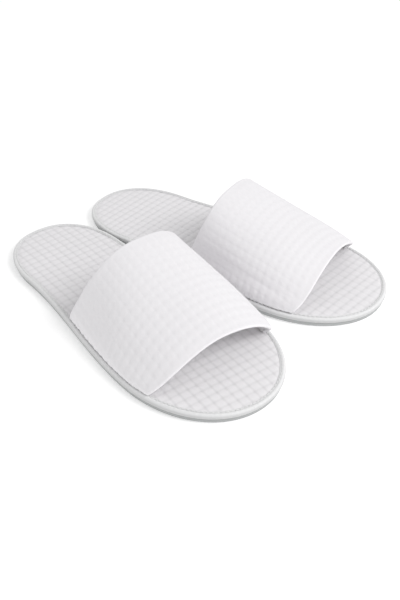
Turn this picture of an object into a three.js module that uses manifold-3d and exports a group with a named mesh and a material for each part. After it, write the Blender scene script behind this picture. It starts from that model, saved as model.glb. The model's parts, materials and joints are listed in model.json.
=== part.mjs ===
// A pair of open-toe spa slippers, in millimetres, +Z up, toes towards -Y, standing on Z = 0.
// Each slipper is drawn in its own frame: heel end at Y = 0, toe end at Y = LENGTH, then placed in the pair.
import * as THREE from "three";
import { mergeVertices } from "three/addons/utils/BufferGeometryUtils.js";
import Module from "manifold-3d";

const wasm = await Module();
wasm.setup();

// Sole outline, seen from above.
const LENGTH = 280; // heel end to toe end
const HEEL_HALF_WIDTH = 44.6;
const HEEL_ROUND = 60; // length of the rounded heel end
const HEEL_POWER = 2.22; // 2 is an ellipse, more is squarer
const BALL_HALF_WIDTH = 58.7;
const TOE_ROUND = 76; // length of the rounded toe end
const TOE_POWER = 2.06;
const OUTLINE_STATIONS = 56;

// Layers of the sole, from the floor up.
const GAP = 0.25; // between neighbouring pieces
const OUTSOLE_THICK = 3.5;
const PAD_THICK = 1.75;
const INSOLE_THICK = 0.9;
const OUTSOLE_INSET = 0.8;
const BINDING_WALL = 2; // the tape's thickness on the side of the sole
const BINDING_FLANGE = 3.9; // how far the tape reaches in over the insole
const BINDING_TOP = 0.7;
const SEAM_INSET = 3;
const SEAM_RADIUS = 0.35;
const FLEX_AT = 200; // the ball of the foot, where the sole bends
const FLEX_GAP = 0.3;

// The upper, a band over the forefoot that is high at the throat and low at the toe opening.
// Each end is an arch: where its two feet stand, its height, how far its top leans towards the
// toes and how early, its roundness, and how far its top sits towards the other slipper.
const THROAT = {
  outerFoot: 123.5,
  innerFoot: 126,
  height: 60.5,
  lean: 20.6,
  early: 1.45,
  outerPower: 2.2,
  innerPower: 3.2,
  shift: 0.5,
};
const TOE_OPENING = {
  outerFoot: 225,
  innerFoot: 231,
  height: 29.5,
  lean: 10.4,
  early: 2.55,
  outerPower: 1.65,
  innerPower: 2.04,
  shift: -1.6,
};
const UPPER_INSET = 4.5; // from the sole's outline to the outer fabric
const SHELL_THICK = 0.8;
const FOAM_THICK = 1.3;
const LINING_THICK = 0.6;
const ARCH_STEPS = 20;
const ROWS = 6;
const EDGE_SIDES = 8;

// The pair.
const SPACING = 110.6; // between the middles of the two slippers
const TOE_OUT = 6.8; // degrees that each one is turned outwards

const padBottom = OUTSOLE_THICK + GAP;
const insoleBottom = padBottom + PAD_THICK + GAP;
const insoleTop = insoleBottom + INSOLE_THICK;
const flangeBottom = insoleTop + GAP;
const flangeTop = flangeBottom + BINDING_TOP;
const upperBottom = insoleTop + GAP;
const upperThick = SHELL_THICK + FOAM_THICK + LINING_THICK + 2 * GAP;

const fabric = (color, roughness) => new THREE.MeshStandardMaterial({ color, roughness, metalness: 0 });
const materials = {
  waffle: fabric(0xf0eef0, 0.95),
  insole: fabric(0xe6e4e7, 0.95),
  tape: fabric(0xf1f1f1, 0.9),
  lining: fabric(0xeceaec, 0.97),
  foam: fabric(0xf2efe4, 0.9),
  thread: fabric(0xf4f4f4, 0.8),
  eva: fabric(0xe4e5e5, 0.7),
};

function halfWidth(y) {
  const toeStart = LENGTH - TOE_ROUND;
  const roundEnd = (r, t, power) => r * Math.pow(Math.max(0, 1 - Math.pow(t, power)), 1 / power);
  if (y < HEEL_ROUND) return roundEnd(HEEL_HALF_WIDTH, (HEEL_ROUND - y) / HEEL_ROUND, HEEL_POWER);
  if (y > toeStart) return roundEnd(BALL_HALF_WIDTH, (y - toeStart) / TOE_ROUND, TOE_POWER);
  const s = THREE.MathUtils.smoothstep(y, HEEL_ROUND, toeStart);
  return THREE.MathUtils.lerp(HEEL_HALF_WIDTH, BALL_HALF_WIDTH, s);
}

// The sole's outline, anticlockwise from the heel end, moved inwards by inset.
function outline(inset) {
  const edge = (turn) => {
    const y = (LENGTH / 2) * (1 - Math.cos(turn));
    return new THREE.Vector2(Math.sign(Math.sin(turn)) * halfWidth(y), y);
  };
  const step = (2 * Math.PI) / OUTLINE_STATIONS;
  return Array.from({ length: OUTLINE_STATIONS }, (_, i) => {
    const turn = i * step;
    const along = edge(turn + step / 4).sub(edge(turn - step / 4)).normalize();
    return edge(turn).add(new THREE.Vector2(-along.y, along.x).multiplyScalar(inset));
  });
}

// Joins loops of points into one closed body. A ring's last loop meets its first. An open band
// is closed at both ends by pairing each point of the loop with the one opposite, and its
// two faces are folded along the same diagonals so that neighbouring layers stay parallel.
function loft(loops, isRing) {
  const n = loops[0].length;
  const positions = loops.flat().flatMap((p) => [p.x, p.y, p.z]);
  const index = [];
  const quad = (a, b, c, d) => index.push(a, b, c, a, c, d);
  for (let i = 0; i < (isRing ? loops.length : loops.length - 1); i++) {
    const here = i * n;
    const next = ((i + 1) % loops.length) * n;
    for (let j = 0; j < n; j++) {
      const k = (j + 1) % n;
      if (isRing || j < n / 2) quad(here + j, here + k, next + k, next + j);
      else quad(here + k, next + k, next + j, here + j);
    }
  }
  if (!isRing) {
    const last = (loops.length - 1) * n;
    for (let j = 0; j < n / 2 - 1; j++) {
      quad(j, n - 1 - j, n - 2 - j, j + 1);
      quad(last + j, last + j + 1, last + n - 2 - j, last + n - 1 - j);
    }
  }
  const made = new THREE.BufferGeometry();
  made.setAttribute("position", new THREE.Float32BufferAttribute(positions, 3));
  made.setIndex(index);
  return made;
}

function toSolid(geometry) {
  const bare = new THREE.BufferGeometry().setAttribute("position", geometry.getAttribute("position"));
  bare.setIndex(geometry.index);
  const merged = mergeVertices(bare, 1e-4);
  const vertProperties = merged.attributes.position.array;
  const triVerts = new Uint32Array(merged.index.array);
  return new wasm.Manifold(new wasm.Mesh({ numProp: 3, vertProperties, triVerts }));
}

function fromSolid(solid) {
  const mesh = solid.getMesh();
  const made = new THREE.BufferGeometry();
  made.setAttribute("position", new THREE.BufferAttribute(mesh.vertProperties, 3));
  made.setIndex(new THREE.BufferAttribute(mesh.triVerts, 1));
  return made;
}

// Cuts a sole piece across the ball of the foot into its heel part and its toe part.
function cutAtFlex(geometry) {
  const solid = toSolid(geometry);
  const part = (low, high) => {
    const box = new THREE.BoxGeometry(LENGTH, high - low, LENGTH);
    box.translate(0, (low + high) / 2, 0);
    return fromSolid(solid.intersect(toSolid(box)));
  };
  return { heel: part(-LENGTH, FLEX_AT - FLEX_GAP / 2), toe: part(FLEX_AT + FLEX_GAP / 2, 2 * LENGTH) };
}

function solePlate(inset, bottom, thick) {
  const shape = new THREE.Shape(outline(inset));
  const plate = new THREE.ExtrudeGeometry(shape, { depth: thick, bevelEnabled: false });
  return plate.translate(0, 0, bottom);
}

// A section of [inset, height] points carried round the sole's outline.
function soleRing(section) {
  const rings = section.map(([inset]) => outline(inset));
  const loops = Array.from({ length: OUTLINE_STATIONS }, (_, i) =>
    section.map(([, height], j) => new THREE.Vector3(rings[j][i].x, rings[j][i].y, height)),
  );
  return loft(loops, true);
}

function edgeBinding() {
  const shoulder = 0.7;
  return soleRing([
    [0.5, padBottom],
    [BINDING_WALL, padBottom],
    [BINDING_WALL, flangeBottom],
    [BINDING_FLANGE, flangeBottom],
    [BINDING_FLANGE - 0.2, flangeTop - 0.1],
    [BINDING_WALL + 0.2, flangeTop],
    [shoulder, flangeTop - 0.5],
    [0, insoleBottom + 0.4],
    [0, padBottom + 0.7],
  ]);
}

function soleSeam() {
  const middle = flangeTop + GAP + SEAM_RADIUS;
  const corner = (i) => {
    const turn = (i * Math.PI) / 2;
    return [SEAM_INSET + SEAM_RADIUS * Math.sin(turn), middle - SEAM_RADIUS * Math.cos(turn)];
  };
  return soleRing([0, 1, 2, 3].map(corner));
}

// A point of the upper's outer face: along runs 0 at the throat to 1 at the toe opening, turn
// runs 0 at one foot of the arch to PI at the other. inner is the side of the other slipper.
function archPoint(inner, along, turn) {
  const mix = (key) => THREE.MathUtils.lerp(THROAT[key], TOE_OPENING[key], along);
  const onInnerSide = inner * Math.cos(turn) > 0;
  const power = 2 / mix(onInnerSide ? "innerPower" : "outerPower");
  const rise = Math.pow(Math.max(0, Math.sin(turn)), power);
  const across = Math.sign(Math.cos(turn)) * Math.pow(Math.abs(Math.cos(turn)), power);
  const foot = THREE.MathUtils.lerp(mix("outerFoot"), mix("innerFoot"), (1 + inner * across) / 2);
  const reach = halfWidth(foot) - UPPER_INSET;
  const y = foot + mix("lean") * (1 - Math.pow(1 - rise, mix("early")));
  const x = reach * across + inner * mix("shift") * rise;
  return new THREE.Vector3(x, y, upperBottom + mix("height") * rise);
}

// The same point moved inwards through the thickness of the upper.
function archInside(inner, along, turn, depth) {
  const small = 1e-3;
  const low = Math.max(turn - small, small / 2);
  const high = Math.min(turn + small, Math.PI - small / 2);
  const round = archPoint(inner, along, high).sub(archPoint(inner, along, low));
  const forward = archPoint(inner, along + small, turn).sub(archPoint(inner, along - small, turn));
  const inwards = new THREE.Vector3().crossVectors(round, forward).normalize();
  const moved = archPoint(inner, along, turn).addScaledVector(inwards, depth);
  moved.z = Math.max(moved.z, upperBottom);
  return moved;
}

const archTurns = Array.from({ length: ARCH_STEPS + 1 }, (_, i) => {
  const share = i / ARCH_STEPS;
  return Math.PI * (share - (0.35 * Math.sin(2 * Math.PI * share)) / (2 * Math.PI));
});
const edgeRadius = upperThick / 2;
const shortestBand = TOE_OPENING.innerFoot - THROAT.innerFoot - THROAT.lean - TOE_OPENING.lean;
const bandStart = (edgeRadius + 2 * GAP) / shortestBand;

function upperLayer(inner, depth, thick) {
  const loops = Array.from({ length: ROWS + 1 }, (_, i) => {
    const along = THREE.MathUtils.lerp(bandStart, 1 - bandStart, i / ROWS);
    const face = (deep) => archTurns.map((turn) => archInside(inner, along, turn, deep));
    return [...face(depth + thick), ...face(depth).reverse()];
  });
  return loft(loops, false);
}

// The rolled edge that closes the fabric, foam and lining at the throat or the toe opening.
// It is drawn a little too long and cut off flat at the feet.
function upperEdge(inner, along) {
  const line = archTurns.map((turn) => archInside(inner, along, turn, edgeRadius));
  const below = new THREE.Vector3(0, 0, -2);
  line.unshift(line[0].clone().add(below));
  line.push(line[line.length - 1].clone().add(below));
  const section = new THREE.Shape();
  section.absarc(0, 0, edgeRadius - 0.05, 0, 2 * Math.PI);
  const roll = new THREE.ExtrudeGeometry(section, {
    steps: ARCH_STEPS * 2,
    curveSegments: EDGE_SIDES,
    bevelEnabled: false,
    extrudePath: new THREE.CatmullRomCurve3(line, false, "centripetal"),
  });
  return fromSolid(toSolid(roll).trimByPlane([0, 0, 1], upperBottom));
}

function slipper(side) {
  const made = new THREE.Group();
  const inner = side === "right" ? -1 : 1;
  const add = (name, geometry, material) => {
    const piece = new THREE.Mesh(geometry, material);
    piece.name = `${side}_${name}`;
    made.add(piece);
  };
  const addSole = (name, geometry, material) => {
    const { heel, toe } = cutAtFlex(geometry);
    add(`${name}_heel`, heel, material);
    add(`${name}_toe`, toe, material);
  };
  addSole("outsole", solePlate(OUTSOLE_INSET, 0, OUTSOLE_THICK), materials.eva);
  addSole("pad", solePlate(BINDING_WALL + GAP, padBottom, PAD_THICK), materials.foam);
  addSole("insole", solePlate(BINDING_WALL + GAP, insoleBottom, INSOLE_THICK), materials.insole);
  addSole("binding", edgeBinding(), materials.tape);
  addSole("seam", soleSeam(), materials.thread);
  add("upper_shell", upperLayer(inner, 0, SHELL_THICK), materials.waffle);
  add("upper_foam", upperLayer(inner, SHELL_THICK + GAP, FOAM_THICK), materials.foam);
  add("upper_lining", upperLayer(inner, SHELL_THICK + FOAM_THICK + 2 * GAP, LINING_THICK), materials.lining);
  add("throat_edge", upperEdge(inner, 0), materials.tape);
  add("toe_edge", upperEdge(inner, 1), materials.tape);
  return made;
}

// A slipper set down with its middle at X = x and its toe turned outwards from -Y by the angle.
function setDown(piece, x, angle) {
  const turn = THREE.MathUtils.degToRad(180 + angle);
  const middle = new THREE.Vector3(0, LENGTH / 2, 0).applyAxisAngle(new THREE.Vector3(0, 0, 1), turn);
  piece.rotation.z = turn;
  piece.position.set(x - middle.x, -middle.y, 0);
  return piece;
}

const pair = new THREE.Group();
pair.add(setDown(slipper("right"), -SPACING / 2, -TOE_OUT));
pair.add(setDown(slipper("left"), SPACING / 2, TOE_OUT));

// The pair's box is centred on the origin, seen from above.
const middle = new THREE.Box3().setFromObject(pair, true).getCenter(new THREE.Vector3());
pair.position.set(-middle.x, -middle.y, 0);

export default pair;
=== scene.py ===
# A pair of white waffle-weave spa slippers on a pale floor.
# Each slipper is drawn in its own frame in millimetres, heel end at y = 0 and toe end at y = LENGTH,
# and set down where the CAD model's toe hinge says. Metres are used from there on.
import json
import math

import bmesh
import bpy
import numpy as np
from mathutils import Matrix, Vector


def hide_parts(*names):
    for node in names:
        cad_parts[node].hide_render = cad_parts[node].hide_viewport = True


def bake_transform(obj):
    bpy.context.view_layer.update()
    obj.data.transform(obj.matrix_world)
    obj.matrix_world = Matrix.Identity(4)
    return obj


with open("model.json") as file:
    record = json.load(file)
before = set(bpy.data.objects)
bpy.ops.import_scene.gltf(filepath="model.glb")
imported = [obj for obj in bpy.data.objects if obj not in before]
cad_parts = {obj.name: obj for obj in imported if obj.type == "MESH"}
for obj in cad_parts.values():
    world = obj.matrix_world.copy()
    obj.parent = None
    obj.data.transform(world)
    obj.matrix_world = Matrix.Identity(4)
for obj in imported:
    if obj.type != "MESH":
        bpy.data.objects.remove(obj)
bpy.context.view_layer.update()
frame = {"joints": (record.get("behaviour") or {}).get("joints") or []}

# ---------------------------------------------------------------- sizes, in millimetres
LENGTH = 280.0
HEEL_HALF_WIDTH, HEEL_ROUND, HEEL_POWER = 44.6, 60.0, 2.22
BALL_HALF_WIDTH, TOE_ROUND, TOE_POWER = 58.7, 76.0, 2.06
FLEX_AT = 200.0
BLEND_FROM, BLEND_TO = 196.0, 238.0

OUTSOLE_TOP = 3.5
PAD_LOW, PAD_HIGH = 3.75, 5.5
INSOLE_LOW, INSOLE_HIGH = 5.75, 6.65
BINDING_TOP = 7.7
SEAM_INSET = 3.05
STITCH_PITCH = 3.4
BINDING_FLANGE = 4.3
INSOLE_INSET = 2.35
TUCKED_TO, FREE_FROM, FREE_OVER = 4.15, 4.0, 3.0  # insole cover against the binding, from the edge

UPPER_BOTTOM = 6.95
UPPER_INSET = 4.5
# the two ends of the upper: where the feet stand, height, forward lean of the top and how early
# it comes, roundness on either side, and how far the top sits towards the other slipper
THROAT = dict(
    outer=123.5, inner=126, height=60.5, lean=20.6, early=1.45, power_out=2.2, power_in=3.2, shift=0.5
)
TOE_OPENING = dict(
    outer=225, inner=231, height=29.5, lean=10.4, early=2.55, power_out=1.65, power_in=2.04, shift=-1.6
)
SHELL, LINING = 0.8, 0.6
LAYER_GAP = 0.25
BULGE, FOOT_BULGE = 1.2, 1.3
FLARE = 1.7  # how far the upper stands out over the seam, just above its foot
THROAT_FOLD, TOE_FOLD = 1.3, 1.4

CELL_ACROSS, CELL_ALONG = 7.1, 6.8
WEAVE_TURN = {"right": (0.0, 7.0), "left": (-1.5, -8.5)}  # degrees, at the heel and the toe
INSOLE_RELIEF, UPPER_RELIEF = 1.2, 0.42
TOEWARD_FROM, TOEWARD_OVER = 170.0, 70.0  # where the insole's relief gets weaker
SIDE_RIBS_BELOW, SIDE_RIBS_OVER = 26.0, 20.0  # height under which the upper's crosswise ribs grow


def smooth(t):
    t = np.clip(t, 0, 1)
    return t * t * (3 - 2 * t)


def half_width(y):
    """Half the sole's width at y, seen from above."""
    y = np.asarray(y, float)
    toe_start = LENGTH - TOE_ROUND
    heel_t = np.clip((HEEL_ROUND - y) / HEEL_ROUND, 0, 1)
    toe_t = np.clip((y - toe_start) / TOE_ROUND, 0, 1)
    heel = HEEL_HALF_WIDTH * (1 - heel_t**HEEL_POWER) ** (1 / HEEL_POWER)
    toe = BALL_HALF_WIDTH * (1 - toe_t**TOE_POWER) ** (1 / TOE_POWER)
    middle = HEEL_HALF_WIDTH + (BALL_HALF_WIDTH - HEEL_HALF_WIDTH) * smooth(
        (y - HEEL_ROUND) / (toe_start - HEEL_ROUND)
    )
    return np.where(y < HEEL_ROUND, heel, np.where(y > toe_start, toe, middle))


def edge_point(turn, inset=0.0):
    """Points of the sole's outline, moved inwards by inset. Turn 0 is the heel end, pi the toe end."""
    turn = np.asarray(turn, float)

    def raw(a):
        y = LENGTH / 2 * (1 - np.cos(a))
        return np.stack([np.sign(np.sin(a)) * half_width(y), y], -1)

    step = 0.012
    along = raw(turn + step) - raw(turn - step)
    along /= np.linalg.norm(along, axis=-1, keepdims=True)
    inwards = np.stack([-along[..., 1], along[..., 0]], -1)
    return raw(turn) + inwards * np.asarray(inset, float)[..., None]


def inset_half_width(y, inset):
    """Half the width at y of the outline moved inwards."""
    p = edge_point(np.linspace(0.001, math.pi - 0.001, 600), inset)
    return np.interp(y, p[:, 1], np.maximum(p[:, 0], 0), left=0, right=0)


# ---------------------------------------------------------------- the upper's surface
def arch(u, turn, flare=FLARE):
    """The upper's outer surface: u 0 at the throat and 1 at the toe opening, turn 0 to pi from the
    foot on the other slipper's side to the outer foot."""
    u, turn = np.broadcast_arrays(np.asarray(u, float), np.asarray(turn, float))

    def mix(key):
        return THROAT[key] + (TOE_OPENING[key] - THROAT[key]) * u

    power = 2 / np.where(np.cos(turn) > 0, mix("power_in"), mix("power_out"))
    rise = np.clip(np.sin(turn), 0, 1) ** power
    across = np.sign(np.cos(turn)) * np.abs(np.cos(turn)) ** power
    foot = mix("outer") + (mix("inner") - mix("outer")) * (1 + across) / 2
    bulge = BULGE * np.sin(math.pi * np.clip(rise, 0, 1)) * (1 - 0.5 * u)
    bulge += FOOT_BULGE * np.sin(math.pi * np.clip(rise * 2.5, 0, 1))
    above = mix("height") * rise
    bulge += flare * smooth((above - 0.8) / 0.9) * (1 - smooth((above - 3) / 15))
    x = across * (half_width(foot) - UPPER_INSET + bulge) + mix("shift") * rise
    y = foot + mix("lean") * (1 - (1 - rise) ** mix("early"))
    return np.stack([x, y, UPPER_BOTTOM + above], -1)


def arch_normal(u, turn):
    h = 1e-3
    turn = np.clip(turn, 2 * h, math.pi - 2 * h)
    round_it = arch(u, turn + h, 0) - arch(u, turn - h, 0)
    forward = arch(u + h, turn, 0) - arch(u - h, turn, 0)
    n = np.cross(forward, round_it)
    return n / np.linalg.norm(n, axis=-1, keepdims=True)


def arch_turns(n):
    """Turns that are evenly spaced along the middle of the upper."""
    fine = math.pi * (0.5 - 0.5 * np.cos(np.linspace(0, math.pi, 4001)))
    run = np.linalg.norm(np.diff(arch(0.45, fine), axis=0), axis=1).cumsum()
    run = np.concatenate([[0], run])
    return np.interp(np.linspace(0, run[-1], n), run, fine)


# ---------------------------------------------------------------- placing and meshes
class Slipper:
    """One slipper's own frame, taken from its toe hinge."""

    def __init__(self, side):
        self.side = side
        hinge = next(j for j in frame["joints"] if j["name"] == f"{side}_toe_flex")
        self.at = np.array(hinge["pos_m"][:2], float)
        axis = np.array(hinge["axis"][:2], float)
        axis /= np.linalg.norm(axis)
        self.across = axis
        self.along = np.array([-axis[1], axis[0]])
        self.hand = -1 if side == "right" else 1

    def place(self, p):
        p = np.asarray(p, float)
        xy = (
            p[..., 0:1] * self.hand * self.across
            + (p[..., 1:2] - FLEX_AT) * self.along
        ) / 1000 + self.at
        return np.concatenate([xy, p[..., 2:3] / 1000], -1)

    def point(self, x, y, z):
        return Vector(self.place(np.array([x, y, z])))


def make_piece(slipper, name, points, faces, uvs, material, nodes):
    """Makes a mesh of slipper-frame points and joins coinciding ones."""
    mesh = bpy.data.meshes.new(f"{slipper.side}_{name}")
    mesh.from_pydata(slipper.place(points).tolist(), [], faces)
    layer = mesh.uv_layers.new(name="cloth")
    corner = np.zeros(len(mesh.loops), int)
    mesh.loops.foreach_get("vertex_index", corner)
    layer.data.foreach_set("uv", (np.asarray(uvs, float)[corner]).ravel())
    bm = bmesh.new()
    bm.from_mesh(mesh)
    bmesh.ops.remove_doubles(bm, verts=bm.verts, dist=2e-6)
    bmesh.ops.dissolve_degenerate(bm, edges=bm.edges, dist=1e-6)
    bmesh.ops.recalc_face_normals(bm, faces=bm.faces)
    for f in bm.faces:
        f.smooth = True
    bm.to_mesh(mesh)
    bm.free()
    mesh.materials.append(material)
    piece = bpy.data.objects.new(mesh.name, mesh)
    bpy.context.collection.objects.link(piece)
    slipper.point(0, BLEND_FROM, 0)
    slipper.point(0, BLEND_TO, 0)
    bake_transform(piece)
    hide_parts(*[f"{slipper.side}_{n}" for n in nodes])
    return piece


def sheet_faces(rows, cols):
    """Faces of a closed sheet whose top is a grid of rows x cols points and whose bottom follows it."""
    faces = []
    size = rows * cols

    def top(i, j):
        return i * cols + j

    for i in range(rows - 1):
        for j in range(cols - 1):
            a, b, c, d = top(i, j), top(i, j + 1), top(i + 1, j + 1), top(i + 1, j)
            faces.append((a, b, c, d))
            faces.append((a + size, d + size, c + size, b + size))
    rim = [(0, j) for j in range(cols - 1)]
    rim += [(i, cols - 1) for i in range(rows - 1)]
    rim += [(rows - 1, j) for j in range(cols - 1, 0, -1)]
    rim += [(i, 0) for i in range(rows - 1, 0, -1)]
    for k, (i, j) in enumerate(rim):
        ni, nj = rim[(k + 1) % len(rim)]
        a, b = top(i, j), top(ni, nj)
        faces.append((b, a, a + size, b + size))
    return faces


def sheet_piece(slipper, name, top, bottom, uv, material, nodes):
    rows, cols = top.shape[:2]
    points = np.concatenate([top.reshape(-1, 3), bottom.reshape(-1, 3)])
    uvs = np.concatenate([uv.reshape(-1, 2)] * 2)
    return make_piece(
        slipper, name, points, sheet_faces(rows, cols), uvs, material, nodes
    )


def loft_piece(slipper, name, loops, closed, uv, material, nodes):
    """loops is (n, m, 3): n closed sections of m points. closed joins the last section to the first."""
    n, m = loops.shape[:2]
    faces = []
    for i in range(n if closed else n - 1):
        ni = (i + 1) % n
        for j in range(m):
            nj = (j + 1) % m
            faces.append((i * m + j, i * m + nj, ni * m + nj, ni * m + j))
    if not closed:
        faces.append(tuple(range(m - 1, -1, -1)))
        faces.append(tuple((n - 1) * m + j for j in range(m)))
    return make_piece(
        slipper,
        name,
        loops.reshape(-1, 3),
        faces,
        uv.reshape(-1, 2),
        material,
        nodes,
    )


def grid_area(grid):
    """Area in square metres of a grid of points in millimetres."""
    a = grid[1:, 1:] - grid[:-1, :-1]
    b = grid[:-1, 1:] - grid[1:, :-1]
    return float(np.linalg.norm(np.cross(a, b), axis=-1).sum() / 2 / 1e6)


# ---------------------------------------------------------------- materials
SHEEN, MOTTLE = 0.25, 0.35


def new_material(name):
    material = bpy.data.materials.new(name)
    material.use_nodes = True
    tree = material.node_tree
    shader = tree.nodes["Principled BSDF"]
    return material, tree, shader


def node(tree, kind, **values):
    made = tree.nodes.new(kind)
    for key, value in values.items():
        if key in made.inputs:
            made.inputs[key].default_value = value
        else:
            setattr(made, key, value)
    return made


def tint(tree, shader, light, dark, factor):
    mix = node(tree, "ShaderNodeMix", data_type="RGBA")
    mix.inputs[6].default_value = (*light, 1)
    mix.inputs[7].default_value = (*dark, 1)
    tree.links.new(factor, mix.inputs[0])
    tree.links.new(mix.outputs[2], shader.inputs["Base Color"])


def scale_colour(tree, shader, factor):
    """Multiplies whatever feeds the base colour."""
    colour = shader.inputs["Base Color"].links[0].from_socket
    shaded = node(tree, "ShaderNodeVectorMath", operation="SCALE")
    tree.links.new(colour, shaded.inputs[0])
    tree.links.new(factor, shaded.inputs["Scale"])
    tree.links.new(shaded.outputs[0], shader.inputs["Base Color"])


def painted_wall_shade(tree, shader, uv, bright, start, end):
    """Darkens a tape where its second cloth coordinate is under start, fading out at end: painted shade on
    the lower part of the tape's outer wall.
    """
    parts = node(tree, "ShaderNodeSeparateXYZ")
    tree.links.new(uv.outputs[0], parts.inputs[0])
    fade = node(tree, "ShaderNodeMapRange", interpolation_type="SMOOTHSTEP")
    tree.links.new(parts.outputs[1], fade.inputs["Value"])
    fade.inputs["From Min"].default_value = start
    fade.inputs["From Max"].default_value = end
    fade.inputs["To Min"].default_value = bright
    fade.inputs["To Max"].default_value = 1.0
    scale_colour(tree, shader, fade.outputs["Result"])


def painted_groove_shade(tree, shader, uv, grooves):
    """Darkens the base colour along the grooves of the waffle: painted shade for the shadow that settles
    in the grooves.
    """
    link = tree.links.new
    parts = node(tree, "ShaderNodeSeparateXYZ")
    link(uv.outputs[0], parts.inputs[0])
    lines = []
    for axis, cell, amount in ((0, CELL_ACROSS, grooves[0]), (1, CELL_ALONG, grooves[1])):
        phase = node(tree, "ShaderNodeMath", operation="MULTIPLY")
        link(parts.outputs[axis], phase.inputs[0])
        phase.inputs[1].default_value = math.pi * 1000 / cell
        cosine = node(tree, "ShaderNodeMath", operation="COSINE")
        link(phase.outputs[0], cosine.inputs[0])
        size = node(tree, "ShaderNodeMath", operation="ABSOLUTE")
        link(cosine.outputs[0], size.inputs[0])
        line = node(tree, "ShaderNodeMapRange", interpolation_type="SMOOTHSTEP")
        link(size.outputs[0], line.inputs["Value"])
        line.inputs["From Min"].default_value = 0.0
        line.inputs["From Max"].default_value = 0.75
        line.inputs["To Min"].default_value = 1 - amount
        line.inputs["To Max"].default_value = 1.0
        lines.append(line)
    both = node(tree, "ShaderNodeMath", operation="MULTIPLY")
    link(lines[0].outputs["Result"], both.inputs[0])
    link(lines[1].outputs["Result"], both.inputs[1])
    scale_colour(tree, shader, both.outputs[0])


def woven(name, light, dark, threads, depth, grooves=None, wall=None):
    """Cloth: crossing threads in the weave's own direction, with fibre noise. threads is per centimetre.
    grooves paints shade into the waffle's lines: how much for the lengthwise and for the crosswise ones.
    wall paints shade on a tape's outer side, darker towards the bottom: how bright it stays, and where
    that ends on its way to the top."""
    material, tree, shader = new_material(name)
    link = tree.links.new
    uv = node(tree, "ShaderNodeUVMap", uv_map="cloth")
    waves = []
    for direction in ("X", "Y"):
        wave = node(
            tree,
            "ShaderNodeTexWave",
            bands_direction=direction,
            Scale=threads * 10 / (2 * math.pi) * 2,
            Distortion=0.6,
            Detail=1.0,
        )
        link(uv.outputs[0], wave.inputs["Vector"])
        waves.append(wave)
    cross = node(tree, "ShaderNodeMath", operation="MULTIPLY")
    link(waves[0].outputs["Fac"], cross.inputs[0])
    link(waves[1].outputs["Fac"], cross.inputs[1])
    fibre = node(tree, "ShaderNodeTexNoise", Scale=260.0, Detail=4.0, Roughness=0.7)
    link(uv.outputs[0], fibre.inputs["Vector"])
    cloud = node(tree, "ShaderNodeTexNoise", Scale=9.0, Detail=3.0, Roughness=0.6)
    link(uv.outputs[0], cloud.inputs["Vector"])
    spread = node(tree, "ShaderNodeMapRange")
    spread.inputs["From Min"].default_value = 0.35
    spread.inputs["From Max"].default_value = 0.7
    spread.inputs["To Max"].default_value = MOTTLE
    link(cloud.outputs["Fac"], spread.inputs["Value"])
    height = node(tree, "ShaderNodeMath", operation="ADD")
    link(cross.outputs[0], height.inputs[0])
    link(fibre.outputs["Fac"], height.inputs[1])
    low = node(tree, "ShaderNodeMath", operation="MULTIPLY_ADD")
    link(height.outputs[0], low.inputs[0])
    low.inputs[1].default_value = -0.3
    link(spread.outputs["Result"], low.inputs[2])
    shade = node(tree, "ShaderNodeMath", operation="ADD", use_clamp=True)
    link(low.outputs[0], shade.inputs[0])
    shade.inputs[1].default_value = 0.45
    tint(tree, shader, light, dark, shade.outputs[0])
    # painted shade along the waffle's grooves
    if grooves:
        painted_groove_shade(tree, shader, uv, grooves)
    # painted shade low on a tape's outer wall
    if wall:
        painted_wall_shade(tree, shader, uv, *wall)
    bump = node(tree, "ShaderNodeBump", Strength=0.6, Distance=depth)
    link(height.outputs[0], bump.inputs["Height"])
    link(bump.outputs[0], shader.inputs["Normal"])
    shader.inputs["Roughness"].default_value = 0.95
    shader.inputs["Specular IOR Level"].default_value = 0.15
    shader.inputs["Sheen Weight"].default_value = SHEEN
    shader.inputs["Sheen Roughness"].default_value = 0.6
    return material


def moulded_foam(name, light, dark, scale, rough, depth):
    """Foam with fine closed cells."""
    material, tree, shader = new_material(name)
    link = tree.links.new
    where = node(tree, "ShaderNodeTexCoord")
    cells = node(tree, "ShaderNodeTexVoronoi", Scale=scale)
    link(where.outputs["Object"], cells.inputs["Vector"])
    noise = node(tree, "ShaderNodeTexNoise", Scale=scale / 12, Detail=4.0)
    link(where.outputs["Object"], noise.inputs["Vector"])
    tint(tree, shader, light, dark, noise.outputs["Fac"])
    bump = node(tree, "ShaderNodeBump", Strength=0.4, Distance=depth)
    link(cells.outputs["Distance"], bump.inputs["Height"])
    link(bump.outputs[0], shader.inputs["Normal"])
    shader.inputs["Roughness"].default_value = rough
    shader.inputs["Specular IOR Level"].default_value = 0.25
    return material


# grooves= paints shade into the waffle's grooves: faint on the upper, stronger on the insole, whose two
# sides differ only in how much painted shade each groove direction gets
WAFFLE = woven(
    "waffle_upper", (0.89, 0.875, 0.895), (0.82, 0.805, 0.825), 14, 0.00025, grooves=(0.012, 0.006)
)
INSOLE = {
    "right": woven(
        "waffle_insole_right", (0.9, 0.885, 0.9), (0.82, 0.805, 0.825), 14, 0.0003, grooves=(0.10, 0.06)
    ),
    "left": woven(
        "waffle_insole_left", (0.9, 0.885, 0.9), (0.82, 0.805, 0.825), 14, 0.0003, grooves=(0.06, 0.08)
    ),
}
TAPE = woven("edge_tape", (0.83, 0.83, 0.83), (0.74, 0.74, 0.75), 22, 0.00015)
# the binding tape carries painted shade low on its outer wall, towards the floor
BINDING = woven(
    "binding_tape",
    (0.85, 0.85, 0.85),
    (0.76, 0.76, 0.77),
    22,
    0.00015,
    wall=(0.74, 0.0034, 0.0058),
)
LINED = woven("lining_cloth", (0.86, 0.85, 0.86), (0.76, 0.75, 0.76), 26, 0.0001)
FOAM = moulded_foam("soft_foam", (0.86, 0.84, 0.77), (0.80, 0.78, 0.70), 1800, 0.9, 0.0002)
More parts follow.
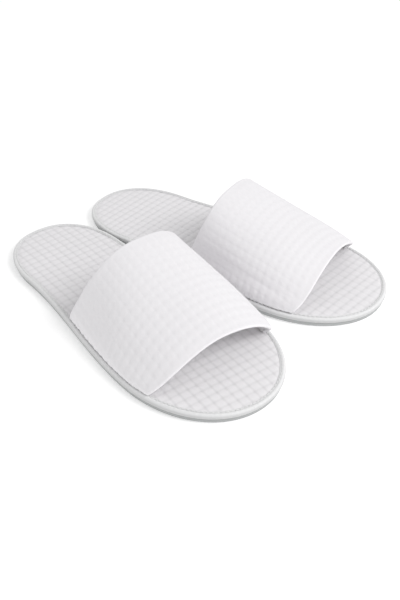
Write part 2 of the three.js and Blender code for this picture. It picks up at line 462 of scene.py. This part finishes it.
# grey sole foam, partly its own colour and partly painted shade: kept dark so the band under the binding
# also stands in for the shade along the floor
EVA = moulded_foam("sole_foam", (0.47, 0.48, 0.48), (0.42, 0.43, 0.43), 2200, 0.65, 0.0001)
THREAD = woven("seam_thread", (0.88, 0.88, 0.88), (0.74, 0.74, 0.74), 40, 0.00008)


# ---------------------------------------------------------------- waffle relief
def waffle(a, b, power, deep_a, deep_b):
    """Relief of the waffle weave at cloth coordinates in millimetres, 0 where grooves cross. deep_a
    and deep_b say how deep the lengthwise and the crosswise grooves are."""
    ridge_a = np.abs(np.cos(math.pi * a / CELL_ACROSS)) ** power
    ridge_b = np.abs(np.cos(math.pi * b / CELL_ALONG)) ** power
    return (deep_a * ridge_a + deep_b * ridge_b) / 2


def wander(a, b, size, seed):
    """Smooth unevenness between -1 and 1 of about that size in millimetres."""
    r = np.random.default_rng(seed)
    total = np.zeros_like(a, dtype=float)
    for _ in range(5):
        angle, phase = r.uniform(0, math.pi), r.uniform(0, 2 * math.pi)
        k = 2 * math.pi / (size * r.uniform(0.7, 1.6))
        total += np.sin(k * (a * math.cos(angle) + b * math.sin(angle)) + phase)
    return total / 5


# ---------------------------------------------------------------- sole
def sole_slab(slipper, name, levels, rows, cols, material, nodes):
    """A flat piece with a shaped edge. levels are (inset, z) from the bottom face to the top face."""
    turns = np.linspace(0.0, math.pi, rows)
    spread = np.linspace(-1, 1, cols)
    loops = []
    for turn in turns:
        ends = [edge_point(turn, inset) for inset, _ in levels]
        sides = [(max(e[0], 0), e[1], z) for e, (_, z) in zip(ends, levels)]
        loop = [(s * sides[0][0], sides[0][1], sides[0][2]) for s in spread]
        loop += [sides[k] for k in range(1, len(levels) - 1)]
        loop += [(-s * sides[-1][0], sides[-1][1], sides[-1][2]) for s in spread]
        loop += [(-x, y, z) for x, y, z in sides[-2:0:-1]]
        loops.append(loop)
    loops = np.array(loops)
    uv = loops[..., :2] / 1000
    return loft_piece(slipper, name, loops, False, uv, material, nodes)


def insole_cover(slipper, seed):
    step_x, step_y = CELL_ACROSS / 8, CELL_ALONG / 8
    inset = INSOLE_INSET
    half = int(BALL_HALF_WIDTH / step_x) + 1
    xs = np.arange(-half, half + 1) * step_x
    ys = np.arange(0, LENGTH, step_y)
    ys = ys[(ys > inset + 0.2) & (ys < LENGTH - inset - 0.2)]
    ys = np.concatenate([[inset + 0.05], ys, [LENGTH - inset - 0.05]])
    wide = inset_half_width(ys, inset)[:, None]
    x = np.clip(np.broadcast_to(xs, (len(ys), len(xs))), -wide, wide)
    y = np.broadcast_to(ys[:, None], x.shape)
    # how far a point is from the edge, to pull the cloth down under the binding
    ring = edge_point(np.linspace(0, 2 * math.pi, 500, endpoint=False), 0.0)
    flat = np.stack([x.ravel(), y.ravel()], -1)
    near = np.full(len(flat), 1e9)
    for k in range(0, len(ring), 50):
        d = np.linalg.norm(flat[:, None] - ring[None, k : k + 50], axis=-1).min(1)
        near = np.minimum(near, d)
    near = near.reshape(x.shape)
    # the weave is turned a little against the sole, more so towards the toes
    first, last = (math.radians(v) for v in WEAVE_TURN[slipper.side])
    turned = first + (last - first) * y / LENGTH
    drift = first * y + (last - first) * y * y / (2 * LENGTH)
    bend_x = x + drift + 0.5 * wander(x, y, 60, seed)
    bend_y = y - x * turned + 0.6 * wander(x, y, 70, seed + 1)
    free = smooth((near - FREE_FROM) / FREE_OVER)
    toeward = smooth((y - TOEWARD_FROM) / TOEWARD_OVER)
    relief = waffle(bend_x, bend_y, 0.85, 1 - 0.5 * toeward, 1 - 0.75 * toeward)
    height = INSOLE_HIGH - 0.1 + 0.45 * toeward + INSOLE_RELIEF * relief * (0.3 + 0.7 * free)
    height += 0.25 * smooth((near - FREE_FROM) / 18) + 0.12 * wander(x, y, 35, seed + 2)
    height = np.where(near < TUCKED_TO, np.minimum(height, INSOLE_HIGH + 0.1), height)
    top = np.stack([x, y, height], -1)
    bottom = np.stack([x, y, np.full_like(x, INSOLE_LOW)], -1)
    uv = np.stack([bend_x, bend_y], -1) / 1000
    piece = sheet_piece(
        slipper,
        "insole_cover",
        top,
        bottom,
        uv,
        INSOLE[slipper.side],
        ["insole_heel", "insole_toe"],
    )
    area = grid_area(bottom)
    return piece, (2 * wide.max() / 1000, (ys[-1] - ys[0]) / 1000), area


def ring_piece(slipper, name, section, stations, shift, material, nodes):
    """A section of (inset, z) points carried round the outline. shift(arc, k) gives the (inset, z)
    unevenness of the section's point k at each station."""
    turns = even_turns(stations)
    arc = np.linspace(0, outline_length(), stations, endpoint=False)
    loops, uvs = [], []
    run = 0.0
    for k, (inset, z) in enumerate(section):
        move_inset, move_z = shift(arc, k)
        p = edge_point(turns, inset + move_inset)
        loops.append(np.stack([p[:, 0], p[:, 1], z + move_z], -1))
        if k:
            run += math.hypot(inset - section[k - 1][0], z - section[k - 1][1])
        uvs.append(np.stack([arc, np.full(stations, run)], -1) / 1000)
    return loft_piece(
        slipper,
        name,
        np.stack(loops, 1),
        True,
        np.stack(uvs, 1),
        material,
        nodes,
    )


def outline_length():
    p = edge_point(np.linspace(0, 2 * math.pi, 2001))
    return float(np.linalg.norm(np.diff(p, axis=0), axis=1).sum())


def even_turns(n):
    """Turns that are evenly spaced along the outline."""
    t = np.linspace(0, 2 * math.pi, 2001)
    p = edge_point(t)
    s = np.concatenate([[0], np.cumsum(np.linalg.norm(np.diff(p, axis=0), axis=1))])
    return np.interp(np.linspace(0, s[-1], n, endpoint=False), s, t)


def binding(slipper, seed):
    phase = np.random.default_rng(seed).uniform(0, 6)

    def shift(arc, k):
        pucker = np.cos(2 * math.pi * arc / STITCH_PITCH)
        slow = np.sin(arc / 21 + phase) * 0.5 + np.sin(arc / 9.3 + 2 * phase) * 0.3
        on_top = 1.0 if 6 <= k <= 12 else 0.35
        return 0.2 * slow * on_top, (0.08 * pucker + 0.12 * slow) * on_top

    section = [
        (2.3, PAD_LOW),
        (0.9, PAD_LOW - 0.05),
        (0.35, PAD_LOW + 0.15),
        (0.05, PAD_LOW + 0.7),
        (0.0, PAD_LOW + 1.6),
        (0.12, PAD_LOW + 2.6),
        (0.55, BINDING_TOP - 0.65),
        (1.2, BINDING_TOP - 0.18),
        (1.75, BINDING_TOP + 0.0),
        (2.3, BINDING_TOP - 0.12),
        (SEAM_INSET - 0.3, BINDING_TOP - 0.48),
        (SEAM_INSET + 0.25, BINDING_TOP - 0.55),
        (BINDING_FLANGE - 0.3, BINDING_TOP - 0.35),
        (BINDING_FLANGE, BINDING_TOP - 0.65),
        (BINDING_FLANGE - 0.2, INSOLE_HIGH + 0.2),
        (2.3, INSOLE_HIGH + 0.2),
    ]
    return ring_piece(
        slipper,
        "edge_binding",
        section,
        840,
        shift,
        BINDING,
        ["binding_heel", "binding_toe"],
    )


def seam(slipper, seed):
    """Separate stitches sunk into the binding."""
    count = int(outline_length() / STITCH_PITCH)
    turns = even_turns(count * 8)
    r = np.random.default_rng(seed)
    rings, around = 7, 8
    points, faces, uvs = [], [], []
    for i in range(count):
        inset = SEAM_INSET + 0.25 * math.sin(i * 0.31 + seed) + r.normal(0, 0.05)
        a = edge_point(turns[i * 8], inset)
        b = edge_point(turns[(i * 8 + 6) % len(turns)], inset + r.normal(0, 0.06))
        d = b - a
        side = np.array([-d[1], d[0]]) / np.linalg.norm(d)
        base = len(points)
        for k in range(rings):
            t = k / (rings - 1)
            radius = 0.36 * math.sin(math.pi * (0.12 + 0.76 * t)) ** 0.5
            lift = BINDING_TOP - 0.32 + 0.22 * math.sin(math.pi * t)
            for j in range(around):
                w = 2 * math.pi * j / around
                xy = a + d * t + side * radius * math.cos(w)
                points.append((xy[0], xy[1], lift + radius * math.sin(w)))
                uvs.append((t * 0.0026, j * 0.0003))
        for k in range(rings - 1):
            for j in range(around):
                n = (j + 1) % around
                faces.append(
                    (
                        base + k * around + j,
                        base + k * around + n,
                        base + (k + 1) * around + n,
                        base + (k + 1) * around + j,
                    )
                )
        faces.append(tuple(base + j for j in range(around - 1, -1, -1)))
        faces.append(tuple(base + (rings - 1) * around + j for j in range(around)))
    return make_piece(
        slipper,
        "seam_stitches",
        np.array(points),
        faces,
        uvs,
        THREAD,
        ["seam_heel", "seam_toe"],
    )


# ---------------------------------------------------------------- upper
def foam_thickness(u):
    return 0.5 + 1.0 * smooth(u * 2.2)


def cloth_coordinates(u, turns):
    """Distance round the arch from its top, and along it from the throat, in millimetres."""
    p = arch(u[:, None], turns[None, :])
    step = np.linalg.norm(np.diff(p, axis=1), axis=-1)
    run = np.concatenate([np.zeros((len(u), 1)), np.cumsum(step, axis=1)], axis=1)
    top = run[:, run.shape[1] // 2][:, None]
    slant = np.linalg.norm(np.diff(p, axis=0), axis=-1)
    along = np.concatenate([np.zeros((1, len(turns))), np.cumsum(slant, axis=0)], 0)
    lead = arch(0.0, turns)[:, 1] - THROAT["outer"]
    return run - top, along + 0.85 * lead[None, :]


def fold_frame(u, turns, radius):
    """Centre line of a fold at the upper's end u, with the outward direction and the direction
    towards the end at each point."""
    h = 1e-3
    centre = arch(u, turns) - arch_normal(u, turns) * radius
    run = np.gradient(centre, axis=0)
    run /= np.linalg.norm(run, axis=1, keepdims=True)
    out = arch_normal(u, turns)
    out -= (out * run).sum(1, keepdims=True) * run
    out /= np.linalg.norm(out, axis=1, keepdims=True)
    end = np.cross(out, run)
    way = (arch(u + h, turns) - arch(u, turns)) * (1 if u > 0.5 else -1)
    end *= np.sign((end * way).sum(1, keepdims=True))
    return centre, out, end


def fold_place(radius, at_toe):
    """The u of a fold's centre, so that the fold's rim ends at the throat's or the toe opening's line."""
    length = TOE_OPENING["outer"] - THROAT["outer"] - 6
    return 1 - radius / length if at_toe else radius / length


def upper_shell(slipper, rows, cols, seed):
    """The waffle cloth of the upper, turned over at both ends."""
    turns = arch_turns(cols)
    first, last = fold_place(THROAT_FOLD, False), fold_place(TOE_FOLD, True)
    u = np.linspace(first, last, rows)
    surface = arch(u[:, None], turns[None, :])
    normal = arch_normal(u[:, None], turns[None, :])
    across, along = cloth_coordinates(u, turns)
    a = across + 0.7 * wander(across, along, 55, seed)
    b = along + 0.7 * wander(across, along, 60, seed + 1)
    low = 0.35 + 0.65 * smooth((surface[..., 2] - UPPER_BOTTOM) / 4)
    # the crosswise ribs stand out most low on the sides
    side = smooth((SIDE_RIBS_BELOW - surface[..., 2]) / SIDE_RIBS_OVER) * smooth((0.95 - u[:, None]) / 0.5)
    ribs = waffle(a, b, 0.9, 1.6 - 0.7 * side, 0.6 + 3.2 * side)
    lift = UPPER_RELIEF * (ribs - 0.7 - 0.7 * side) * low
    edge = smooth(np.minimum(u - first, last - u)[:, None] * 14)
    lift = lift * (0.45 + 0.55 * edge) + 0.4 * wander(across, along, 48, seed + 2) * edge
    top = surface + normal * lift[..., None]
    bottom = surface - normal * SHELL
    tops, bottoms, uvs = [], [], []
    angles = np.radians(np.linspace(180, 14, 13))
    for at, radius, row, sign in ((first, THROAT_FOLD, 0, -1), (last, TOE_FOLD, -1, 1)):
        centre, out, end = fold_frame(at, turns, radius)
        t, bt, w = [], [], []
        for angle in angles:
            way = out * math.cos(angle) + end * math.sin(angle)
            fade = (1 + math.cos(angle)) / 2
            t.append(centre + way * (radius + lift[row][:, None] * fade))
            bt.append(centre + way * (radius - SHELL))
            far = b[row] + sign * radius * angle
            w.append(np.stack([a[row], far], -1))
        tops.append(t)
        bottoms.append(bt)
        uvs.append(w)
    main = np.stack([a, b], -1)
    top = np.concatenate([tops[0], top, tops[1][::-1]])
    bottom = np.concatenate([bottoms[0], bottom, bottoms[1][::-1]])
    uv = np.concatenate([uvs[0], main, uvs[1][::-1]]) / 1000
    for grid in (top, bottom):
        grid[..., 2] = np.maximum(grid[..., 2], UPPER_BOTTOM)
    piece = sheet_piece(
        slipper, "upper_cloth", top, bottom, uv, WAFFLE, ["upper_shell"]
    )
    width = float((across.max(1) - across.min(1)).max() / 1000)
    length = float(np.ptp(uv[..., 1], axis=0).max())
    return piece, (width, length), grid_area((top + bottom) / 2)


def upper_layer(slipper, name, outer, inner, material, nodes):
    """A layer under the shell. outer and inner are depths below the arch surface, as functions of u."""
    u = np.linspace(fold_place(THROAT_FOLD, False) + 0.003, fold_place(TOE_FOLD, True) - 0.003, 60)
    turns = arch_turns(111)
    surface = arch(u[:, None], turns[None, :])
    normal = arch_normal(u[:, None], turns[None, :])
    across, along = cloth_coordinates(u, turns)
    top = surface - normal * outer(u)[:, None, None]
    bottom = surface - normal * inner(u)[:, None, None]
    for grid in (top, bottom):
        grid[..., 2] = np.maximum(grid[..., 2], UPPER_BOTTOM)
    uv = np.stack([across, along], -1) / 1000
    piece = sheet_piece(slipper, name, top, bottom, uv, material, nodes)
    width = float((across.max(1) - across.min(1)).max() / 1000)
    length = float((along.max(0) - along.min(0)).max() / 1000)
    return piece, (width, length), grid_area((top + bottom) / 2)


def edge_core(slipper, name, at_toe, radius, seed):
    """The tape that lies inside the fold at an end of the upper."""
    turns = arch_turns(131)
    u = fold_place(radius, at_toe)
    centre, out, end = fold_frame(u, turns, radius)
    thick = radius - SHELL - 0.12
    run = np.concatenate([[0], np.cumsum(np.linalg.norm(np.diff(centre, axis=0), axis=1))])
    uneven = 1 - 0.06 * (1 + np.sin(run / 7 + seed)) / 2
    loops, uvs = [], []
    for j in range(12):
        w = 2 * math.pi * j / 12
        q = centre + (out * math.cos(w) + end * math.sin(w)) * (thick * uneven)[:, None]
        q[:, 2] = np.maximum(q[:, 2], UPPER_BOTTOM)
        loops.append(q)
        uvs.append(np.stack([run, np.full_like(run, thick * w)], -1) / 1000)
    return loft_piece(
        slipper,
        f"{name}_tape",
        np.stack(loops, 1),
        False,
        np.stack(uvs, 1),
        TAPE,
        [f"{name}_edge"],
    )


def build(side):
    s = Slipper(side)
    seed = 3 if side == "right" else 40
    sole_slab(
        s,
        "outsole",
        [(1.9, 0.0), (1.3, 0.25), (1.05, 0.9), (0.95, 2.2), (1.0, 3.2), (1.3, OUTSOLE_TOP)],
        150,
        13,
        EVA,
        ["outsole_heel", "outsole_toe"],
    )
    pad = sole_slab(
        s,
        "sole_pad",
        [(2.8, PAD_LOW), (2.45, PAD_LOW + 0.3), (2.45, PAD_HIGH - 0.3), (2.8, PAD_HIGH)],
        150,
        13,
        FOAM,
        ["pad_heel", "pad_toe"],
    )
    cover, flat, area = insole_cover(s, seed)
    tape = binding(s, seed)
    stitches = seam(s, seed)
    shell, shell_flat, shell_area = upper_shell(s, 118, 231, seed + 5)
    foam, _, _ = upper_layer(
        s,
        "upper_padding",
        lambda u: 0 * u + SHELL + LAYER_GAP,
        lambda u: SHELL + LAYER_GAP + foam_thickness(u),
        FOAM,
        ["upper_foam"],
    )
    lining, lining_flat, lining_area = upper_layer(
        s,
        "upper_inner_cloth",
        lambda u: SHELL + 2 * LAYER_GAP + foam_thickness(u),
        lambda u: SHELL + 2 * LAYER_GAP + foam_thickness(u) + LINING,
        LINED,
        ["upper_lining"],
    )
    throat = edge_core(s, "throat", False, THROAT_FOLD, seed + 8)
    toe = edge_core(s, "toe", True, TOE_FOLD, seed + 9)


build("right")
build("left")


# ---------------------------------------------------------------- floor, light and camera
FLOOR_HALF, FLOOR_GLOW, WORLD_STRENGTH = 6.0, 0.28, 0.66
LENS, SENSOR = 44.6, 36.0


def plane(name, size, material):
    bm = bmesh.new()
    bmesh.ops.create_grid(bm, x_segments=1, y_segments=1, size=size)
    mesh = bpy.data.meshes.new(name)
    bm.to_mesh(mesh)
    bm.free()
    mesh.materials.append(material)
    made = bpy.data.objects.new(name, mesh)
    bpy.context.collection.objects.link(made)
    return made


floor_material, floor_tree, floor_shader = new_material("floor")
floor_shader.inputs["Base Color"].default_value = (0.95, 0.95, 0.95, 1)
floor_shader.inputs["Roughness"].default_value = 0.9
floor_shader.inputs["Specular IOR Level"].default_value = 0.1
floor_shader.inputs["Emission Color"].default_value = (1, 1, 1, 1)
floor_shader.inputs["Emission Strength"].default_value = FLOOR_GLOW
floor = plane("floor", FLOOR_HALF, floor_material)
floor.location = (0, 0, -0.0002)

AIM = Vector((-0.01183, -0.02847, 0.0))
AZIMUTH, ELEVATION, DISTANCE = math.radians(-48.0), math.radians(37.41), 0.5807
toward = Vector(
    (
        -math.sin(AZIMUTH) * math.cos(ELEVATION),
        math.cos(AZIMUTH) * math.cos(ELEVATION),
        -math.sin(ELEVATION),
    )
)
camera_data = bpy.data.cameras.new("camera")
camera_data.lens = LENS
camera_data.sensor_width = SENSOR
camera_data.clip_end = 30.0
camera = bpy.data.objects.new("camera", camera_data)
bpy.context.collection.objects.link(camera)
camera.location = AIM - toward * DISTANCE
camera.rotation_euler = toward.to_track_quat("-Z", "Y").to_euler()
bpy.context.scene.camera = camera
bpy.context.scene.view_settings.view_transform = "Standard"


def area_light(name, azimuth, elevation, distance, size, power):
    """A soft light aimed at the pair; azimuth is measured like the camera's."""
    a, e = math.radians(azimuth), math.radians(elevation)
    way = Vector((-math.sin(a) * math.cos(e), math.cos(a) * math.cos(e), -math.sin(e)))
    data = bpy.data.lights.new(name, "AREA")
    data.shape = "SQUARE"
    data.size = size
    data.energy = power
    light = bpy.data.objects.new(name, data)
    bpy.context.collection.objects.link(light)
    light.location = -way * distance
    light.rotation_euler = way.to_track_quat("-Z", "Y").to_euler()


area_light("key", 18, 45, 1.6, 0.7, 10.1)
area_light("fill", -120, 45, 1.8, 1.6, 0.3)

world = bpy.data.worlds.new("studio")
bpy.context.scene.world = world
world.use_nodes = True
world.node_tree.nodes["Background"].inputs["Color"].default_value = (1, 1, 1, 1)
world.node_tree.nodes["Background"].inputs["Strength"].default_value = WORLD_STRENGTH
